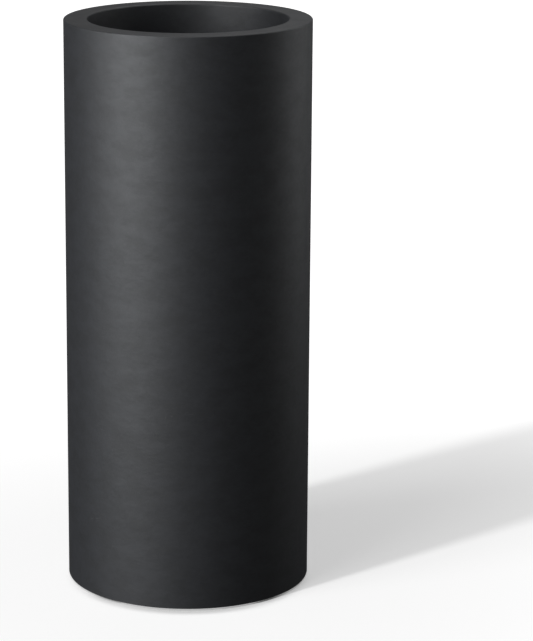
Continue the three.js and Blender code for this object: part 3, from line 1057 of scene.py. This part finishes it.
class PLANTER_OT_paste_bead(bpy.types.Operator):
    """Builds the bead of bonding paste, smoothed by hand, in the corner of the wall and the pan"""

    bl_idname = "planter.paste_bead"
    bl_label = "Paste bead"
    bl_options = {"REGISTER", "UNDO"}

    def execute(self, context):
        inside, finish = context.scene.planter_inside, context.scene.planter_finish
        leg = BEAD_TOP - PAN_TOP
        gap = radii_at("base_fillet", BEAD_TOP)[1] - PAN_RADIUS + 0.3 * MM
        sag, steps = 0.22 * leg, 12
        top = Vector((BEAD_RADIUS, BEAD_TOP))
        toe = Vector((BEAD_RADIUS - leg, PAN_TOP + gap))
        hollow = Vector((BEAD_RADIUS - sag, PAN_TOP + sag))
        along = [k / steps for k in range(steps + 1)]
        surface = [top * (1 - t) ** 2 + hollow * 2 * t * (1 - t) + toe * t**2 for t in along]
        reach = inside.pan_round + gap
        centre = Vector((PAN_RADIUS - inside.pan_round, PAN_TOP - inside.pan_round))
        turns = [math.radians(90 - 45 * k / 6) for k in range(7)]
        underneath = [centre + reach * Vector((math.cos(turn), math.sin(turn))) for turn in turns]
        outline = [Vector((BEAD_RADIUS, underneath[-1].y)), *surface, *underneath]

        def shift(radius, height, angle):
            """The paste's edges wander where the finger that smoothed it did."""
            if height <= PAN_TOP + gap:
                return radius, height
            broad = 0.16 * noise.noise(on_wall(angle, 0, 30 * MM))
            fine = 0.05 * noise.noise(on_wall(angle, 1, 6 * MM))
            spread = min(1, 1 + broad + fine)
            return BEAD_RADIUS - (BEAD_RADIUS - radius) * spread, PAN_TOP + (height - PAN_TOP) * spread

        mesh = revolved("paste_bead", outline, evenly(2 * inside.facets), shift=shift)
        piece(mesh, "base_fillet", "bonding_paste", bonding_paste(finish))
        return {"FINISHED"}


class PLANTER_OT_feet(bpy.types.Operator):
    """Builds the rubber feet with their threaded studs, washers and nuts"""

    bl_idname = "planter.feet"
    bl_label = "Feet and fasteners"
    bl_options = {"REGISTER", "UNDO"}

    def execute(self, context):
        hardware, finish = context.scene.planter_hardware, context.scene.planter_finish
        rubber, zinc = black_rubber(finish), zinc_plating(finish)
        number = 1
        while f"foot_{number}" in frame["nodes"]:
            stud = SmallPart(f"foot_stud_{number}")
            foot = self.foot(number, SmallPart(f"foot_{number}"), stud, hardware.foot_ribs)
            piece(foot, f"foot_{number}", "black_rubber", rubber)
            fasteners = (
                self.stud(number, stud, hardware.thread_pitch, hardware.thread_depth),
                self.washer(number, SmallPart(f"foot_washer_{number}"), hardware.facets),
                self.nut(number, SmallPart(f"foot_nut_{number}")),
            )
            for mesh, kind in zip(fasteners, ("stud", "washer", "nut")):
                piece(mesh, f"foot_{kind}_{number}", "zinc_steel", zinc)
            number += 1
        return {"FINISHED"}

    def foot(self, number, foot, stud, ribs):
        """A round buffer with a ribbed side and a shallow cup in its sole."""
        cup, fit = 1.2 * MM, 0.3 * MM
        sole_round, side_round = 0.6 * MM, 0.8 * MM
        corners = [
            (0, cup, 0),
            (0.62 * foot.radius, cup, sole_round),
            (0.68 * foot.radius, 0, sole_round / 2),
            (foot.radius - 2 * MM, 0, sole_round),
            (foot.radius, 2.5 * MM, side_round),
            (foot.radius, foot.high, side_round),
            (stud.radius + fit, foot.high, 0),
            (stud.radius + fit, stud.low - fit, 0),
            (0, stud.low - fit, 0),
        ]
        outline = divided(rounded_outline(corners, 4), 2.5 * MM, closed=False)
        ribs_low, ribs_high, run_out = 4.5 * MM, foot.high - 3 * MM, 2 * MM

        def shift(radius, height, angle):
            """Ribs round the side, which run out below the pan and above the sole."""
            if radius <= 0.95 * foot.radius:
                return radius, height
            fade = max(0, min(1, (height - ribs_low) / run_out, (ribs_high - height) / run_out))
            groove = (0.5 - 0.5 * math.cos(ribs * angle)) ** 2
            return radius - 0.9 * MM * fade * groove, height

        return revolved(f"rubber_foot_{number}", outline, evenly(6 * ribs), False, shift, foot.centre)

    def stud(self, number, stud, pitch, depth):
        """A stud with a cut helical thread."""
        rings = math.ceil(6 * (stud.high - stud.low) / pitch)
        heights = [stud.low + (stud.high - stud.low) * i / rings for i in range(rings + 1)]
        side = [Vector((stud.radius, height)) for height in heights]
        outline = [Vector((0, stud.low)), *side, Vector((0, stud.high))]

        def shift(radius, height, angle):
            if radius < stud.radius / 2:
                return radius, height
            phase = (height / pitch - angle / TAU) % 1
            threaded = stud.radius - depth * abs(2 * phase - 1)
            lead_in = stud.radius - MM + min(height - stud.low, stud.high - height)
            return min(threaded, lead_in), height

        return revolved(f"threaded_stud_{number}", outline, evenly(24), False, shift, stud.centre)

    def washer(self, number, washer, facets):
        """A stamped washer: rounded on top, sheared underneath."""
        stamped, sheared = 0.5 * MM, 0.15 * MM
        corners = [
            (washer.bore, washer.low, sheared),
            (washer.radius, washer.low, sheared),
            (washer.radius, washer.high, stamped),
            (washer.bore, washer.high, stamped / 2),
        ]
        outline = rounded_outline(corners, 3)
        return revolved(f"steel_washer_{number}", outline, evenly(facets), centre=washer.centre)

    def nut(self, number, nut):
        """A hexagon nut: each corner is the hexagon's or the chamfer cone's, whichever is nearer in."""
        side = TAU / 6
        flat_radius = nut.radius * math.cos(side / 2)
        first_corner = nut.corner_angle()
        steepness, lead_in, steps = math.tan(math.radians(60)), 0.3 * MM, 16
        heights = [nut.low + (nut.high - nut.low) * i / steps for i in range(steps + 1)]
        outline = [
            Vector((nut.bore, nut.low)),
            *(Vector((nut.radius, height)) for height in heights),
            Vector((nut.bore + lead_in, nut.high)),
            Vector((nut.bore, nut.high - lead_in)),
        ]

        def shift(radius, height, angle):
            if radius < nut.bore + MM:
                return radius, height
            from_corner = (angle - first_corner + side / 2) % side - side / 2
            hexagon = flat_radius / math.cos(side / 2 - abs(from_corner))
            from_end = min(height - nut.low, nut.high - height)
            return min(hexagon, flat_radius * 0.985 + from_end * steepness), height

        return revolved(f"hex_nut_{number}", outline, evenly(72), shift=shift, centre=nut.centre)


class PLANTER_OT_plugs(bpy.types.Operator):
    """Builds the rubber drain plugs, each with a barbed shank and a tab to pull"""

    bl_idname = "planter.plugs"
    bl_label = "Drain plugs"
    bl_options = {"REGISTER", "UNDO"}

    def execute(self, context):
        hardware, finish = context.scene.planter_hardware, context.scene.planter_finish
        rubber = black_rubber(finish)
        number = 1
        while f"drain_plug_{number}" in frame["nodes"]:
            plug = SmallPart(f"drain_plug_{number}")
            head_low = min(z for radius, z in plug.corners if radius > plug.radius - MM)
            outline = self.bung(plug, head_low, hardware.plug_barbs)
            bung = revolved(
                f"rubber_plug_{number}", outline, evenly(hardware.facets), closed=False, centre=plug.centre
            )
            mesh = combined(bung, self.tab(plug.centre, plug.low, head_low + 2 * MM), "UNION")
            piece(mesh, f"drain_plug_{number}", "black_rubber", rubber)
            number += 1
        return {"FINISHED"}

    def bung(self, plug, head_low, barb_count):
        """The outline of a plug's head, its barbed shank and its nose."""
        shank = max(radius for radius, z in plug.corners if z > PAN_UNDERSIDE + MM)
        nose = max(radius for radius, z in plug.corners if z > plug.high - 0.1 * MM)
        waist, barb_round, nose_round = shank - 0.5 * MM, 0.2 * MM, 0.8 * MM
        barb_height = (PAN_TOP - PAN_UNDERSIDE) / barb_count
        barbs = []
        for i in range(barb_count):
            start = PAN_UNDERSIDE + i * barb_height
            barbs.append((shank + 0.1 * MM, start + 0.35 * barb_height, barb_round))
            barbs.append((waist, start + barb_height, barb_round))
        corners = [
            (0, head_low, 0),
            (plug.radius, head_low, 1.4 * MM),
            (plug.radius, PAN_UNDERSIDE, 0.5 * MM),
            (waist, PAN_UNDERSIDE, 0),
            *barbs,
            (nose + 0.5 * MM, plug.high - nose_round, 0.5 * MM),
            (nose - 1.5 * MM, plug.high, nose_round),
            (0, plug.high, 0),
        ]
        return rounded_outline(corners, 4)

    def tab(self, centre, low, high):
        """A flat tab with rounded ends and three grip ridges on each face."""
        half_width, half_thickness, end_round = 7.5 * MM, 2.5 * MM, 2.2 * MM
        steps, ridges, squareness = 40, 3.5, 0.45
        turn = Matrix.Rotation(math.atan2(centre.y, centre.x), 3, "Z")

        def squared(value):
            return math.copysign(abs(value) ** squareness, value)

        sections = []
        for i in range(steps + 1):
            along = i / steps
            height = low + (high - low) * along
            closing = math.sqrt(max(0.02, 1 - (1 - min(1, (height - low) / end_round)) ** 2))
            width = half_width * (0.55 + 0.45 * closing)
            thickness = half_thickness * closing * (0.82 + 0.18 * math.cos(TAU * ridges * along))
            loop = []
            for angle in evenly(40):
                x, y = width * squared(math.cos(angle)), thickness * squared(math.sin(angle))
                loop.append(centre + turn @ Vector((x, y, height)))
            sections.append(loop)
        return lofted("tab", sections)


# The softboxes: name, azimuth from the camera towards the left and elevation in degrees, distance, width
# and height in metres, strength in watts. All the lamps aim at one height on the planter's axis.
SOFTBOXES = (
    ("side_softbox", 52, 9, 3.2, 2.5, 2.5, 135.0),
    ("back_softbox", -160, 50, 3.2, 1.4, 1.4, 12.0),
    ("edge_softbox", -105, 30, 1.8, 0.6, 0.6, 4.4),
    ("low_edge_softbox", -112, 0, 3.2, 2.0, 1.4, 12.6),
)
DAYLIGHT = (0.965, 0.985, 1.0)
AIM_HEIGHT = 0.8
SUN_DISTANCE = 4.0
WHITE = (1, 1, 1, 1)


class PLANTER_OT_stage(bpy.types.Operator):
    """Builds the floor, the lamps and the camera"""

    bl_idname = "planter.stage"
    bl_label = "Studio"
    bl_options = {"REGISTER", "UNDO"}

    def execute(self, context):
        stage = context.scene.planter_stage
        context.scene.view_settings.view_transform = "Standard"
        floor = self.build_floor(stage)
        self.build_world(context, stage)
        self.build_lamps(stage, floor)
        self.build_camera(context, stage)
        return {"FINISHED"}

    def build_floor(self, stage):
        """A pale floor that takes the planter's shadow and runs off into a white backdrop."""
        reach = 40.0
        glow_from, glow_to = 0.3, 2.0
        mesh = revolved("studio_floor", [Vector((0, 0)), Vector((reach, 0))], evenly(128), closed=False)
        mesh.flip_normals()
        made = Surface("Studio floor")
        seen = made.node("ShaderNodeLightPath").outputs["Is Camera Ray"]
        made.link(made.mix(seen, stage.floor_bounce, stage.floor), made.shader.inputs["Base Color"])
        made.set_plain({"Roughness": 0.9, "Specular IOR Level": 0.1, "Emission Color": WHITE})
        x, y, z = made.split(made.place)
        glow = made.remap(made.distance(x, y), glow_from, glow_to, stage.floor_glow, stage.far_glow)
        glow = made.times(glow, self.contact_shade(made))
        made.link(made.times(seen, glow), made.shader.inputs["Emission Strength"])
        self.hide_from_below(made)
        mesh.materials.append(made.material)
        floor = placed("studio_floor", mesh)
        return floor

    def contact_shade(self, made):
        """0 where the planter's foot shuts out light from behind it, 1 a few centimetres away."""
        darkest, clear = 0.38, 0.78
        inputs = {"Normal": made.gather(0.0, 1.0, 0.3), "Distance": 38 * MM}
        open_share = made.node("ShaderNodeAmbientOcclusion", inputs, samples=16).outputs["AO"]
        return made.remap(open_share, darkest, clear)

    def hide_from_below(self, made):
        """Makes the floor clear when it is seen from below, so that it never hides the planter's base."""
        clear = made.node("ShaderNodeBsdfTransparent").outputs[0]
        below = made.node("ShaderNodeNewGeometry").outputs["Backfacing"]
        sides = made.node("ShaderNodeMixShader", {0: below, 1: made.shader.outputs[0], 2: clear})
        made.link(sides.outputs[0], made.output.inputs["Surface"])

    def build_world(self, context, stage):
        """White to the camera, and overhead in reflections, where the sides of the studio are dim."""
        sides_end, overhead = 0.70, 0.85
        world = bpy.data.worlds.new("Studio backdrop")
        context.scene.world = world
        world.use_nodes = True
        wiring = Wiring(world.node_tree)
        background = world.node_tree.nodes["Background"]
        background.inputs["Color"].default_value = WHITE
        rays = wiring.node("ShaderNodeLightPath").outputs
        height = wiring.split(wiring.node("ShaderNodeTexCoord").outputs["Generated"])[2]
        reflected = wiring.remap(height, sides_end, overhead, stage.reflected, 1.0)
        mirrored = wiring.most(rays["Is Glossy Ray"], rays["Is Transmission Ray"])
        level = wiring.between(mirrored, stage.ambient, reflected)
        level = wiring.between(rays["Is Camera Ray"], level, 1.0)
        wiring.link(level, background.inputs["Strength"])

    def build_lamps(self, stage, floor):
        """A key lamp, stronger and wider on the floor, softboxes that cast no shadow there, and a light
        through the floor that shows the base from below."""
        floor_only = bpy.data.collections.new("The floor")
        floor_only.objects.link(floor)
        floorless = bpy.data.collections.new("All but the floor")
        floorless.objects.link(floor)
        floorless.collection_objects[0].light_linking.link_state = "EXCLUDE"
        key, wide = stage.key_softness, stage.fill_softness
        self.sun(stage, "key_light", stage.key_strength, key)
        self.sun(stage, "floor_key", stage.floor_key_strength, key, floor_only)
        self.sun(stage, "floor_fill", stage.floor_fill_strength, wide, floor_only)
        from_below, strength, softness = math.radians(-90), 1.6, 0.1
        under = self.lamp("under_light", "SUN", 0, from_below, SUN_DISTANCE, strength, {"angle": softness})
        under.light_linking.receiver_collection = floorless
        under.light_linking.blocker_collection = floorless
        for name, azimuth, elevation, distance, width, height, watts in SOFTBOXES:
            turn, lift = math.radians(azimuth), math.radians(elevation)
            box = {"shape": "RECTANGLE", "size": width, "size_y": height, "color": DAYLIGHT}
            softbox = self.lamp(name, "AREA", turn, lift, distance, watts, box)
            softbox.light_linking.receiver_collection = floorless

    def sun(self, stage, name, strength, softness, receivers=None):
        """A sun that stands where the key lamp does."""
        turn, lift = stage.key_azimuth, stage.key_elevation
        made = self.lamp(name, "SUN", turn, lift, SUN_DISTANCE, strength, {"angle": softness})
        if receivers:
            made.light_linking.receiver_collection = receivers

    def lamp(self, name, kind, azimuth, elevation, distance, strength, settings):
        """A lamp aimed at the planter. Its azimuth is measured from the camera towards the left."""
        lamp = bpy.data.lights.new(name, kind)
        lamp.energy = strength
        for key, value in settings.items():
            setattr(lamp, key, value)
        made = placed(name, lamp)
        level = math.cos(elevation)
        direction = Vector((-math.sin(azimuth) * level, -math.cos(azimuth) * level, math.sin(elevation)))
        made.location = Vector((0, 0, AIM_HEIGHT)) + distance * direction
        made.rotation_euler = (-direction).to_track_quat("-Z", "Y").to_euler()
        made.visible_camera = False
        return made

    def build_camera(self, context, stage):
        """The photograph's view. The lens and shift are worked out from measures of its frame."""
        frame_width, frame_height = 533, 641
        focal_length = 2806.5
        axis_x = 188.06
        camera = bpy.data.cameras.new("Camera")
        camera.sensor_fit = "VERTICAL"
        camera.sensor_width = camera.sensor_height = 36
        camera.lens = camera.sensor_height * focal_length / frame_height
        camera.shift_x = (frame_width / 2 - axis_x) / frame_height
        made = placed("Camera", camera)
        made.location = (0, -stage.camera_distance, stage.camera_height)
        made.rotation_euler = (math.radians(90) - stage.camera_pitch, 0, 0)
        context.scene.camera = made


OPERATORS = [
    PLANTER_OT_stage,
    PLANTER_OT_shell,
    PLANTER_OT_rim_core,
    PLANTER_OT_ledge,
    PLANTER_OT_shelf,
    PLANTER_OT_base_pan,
    PLANTER_OT_paste_bead,
    PLANTER_OT_feet,
    PLANTER_OT_plugs,
]


class PLANTER_PT_panel(bpy.types.Panel):
    """Lists the planter's sizes, colours and operators"""

    bl_idname = "PLANTER_PT_panel"
    bl_label = "Tall planter"
    bl_space_type = "VIEW_3D"
    bl_region_type = "UI"
    bl_category = "Planter"

    def draw(self, context):
        for name, kind in SETTINGS.items():
            box = self.layout.box()
            box.label(text=kind.__doc__)
            for key in kind.__annotations__:
                box.prop(getattr(context.scene, name), key)
        for operator in OPERATORS:
            self.layout.operator(operator.bl_idname, text=operator.bl_label)


CLASSES = [*SETTINGS.values(), *OPERATORS, PLANTER_PT_panel]


def register():
    for kind in CLASSES:
        bpy.utils.register_class(kind)
    for name, kind in SETTINGS.items():
        setattr(bpy.types.Scene, name, bpy.props.PointerProperty(type=kind))


def unregister():
    for name in SETTINGS:
        delattr(bpy.types.Scene, name)
    for kind in reversed(CLASSES):
        bpy.utils.unregister_class(kind)


def main():
    register()
    for operator in OPERATORS:
        group, name = operator.bl_idname.split(".")
        getattr(getattr(bpy.ops, group), name)()


if __name__ == "__main__":
    main()
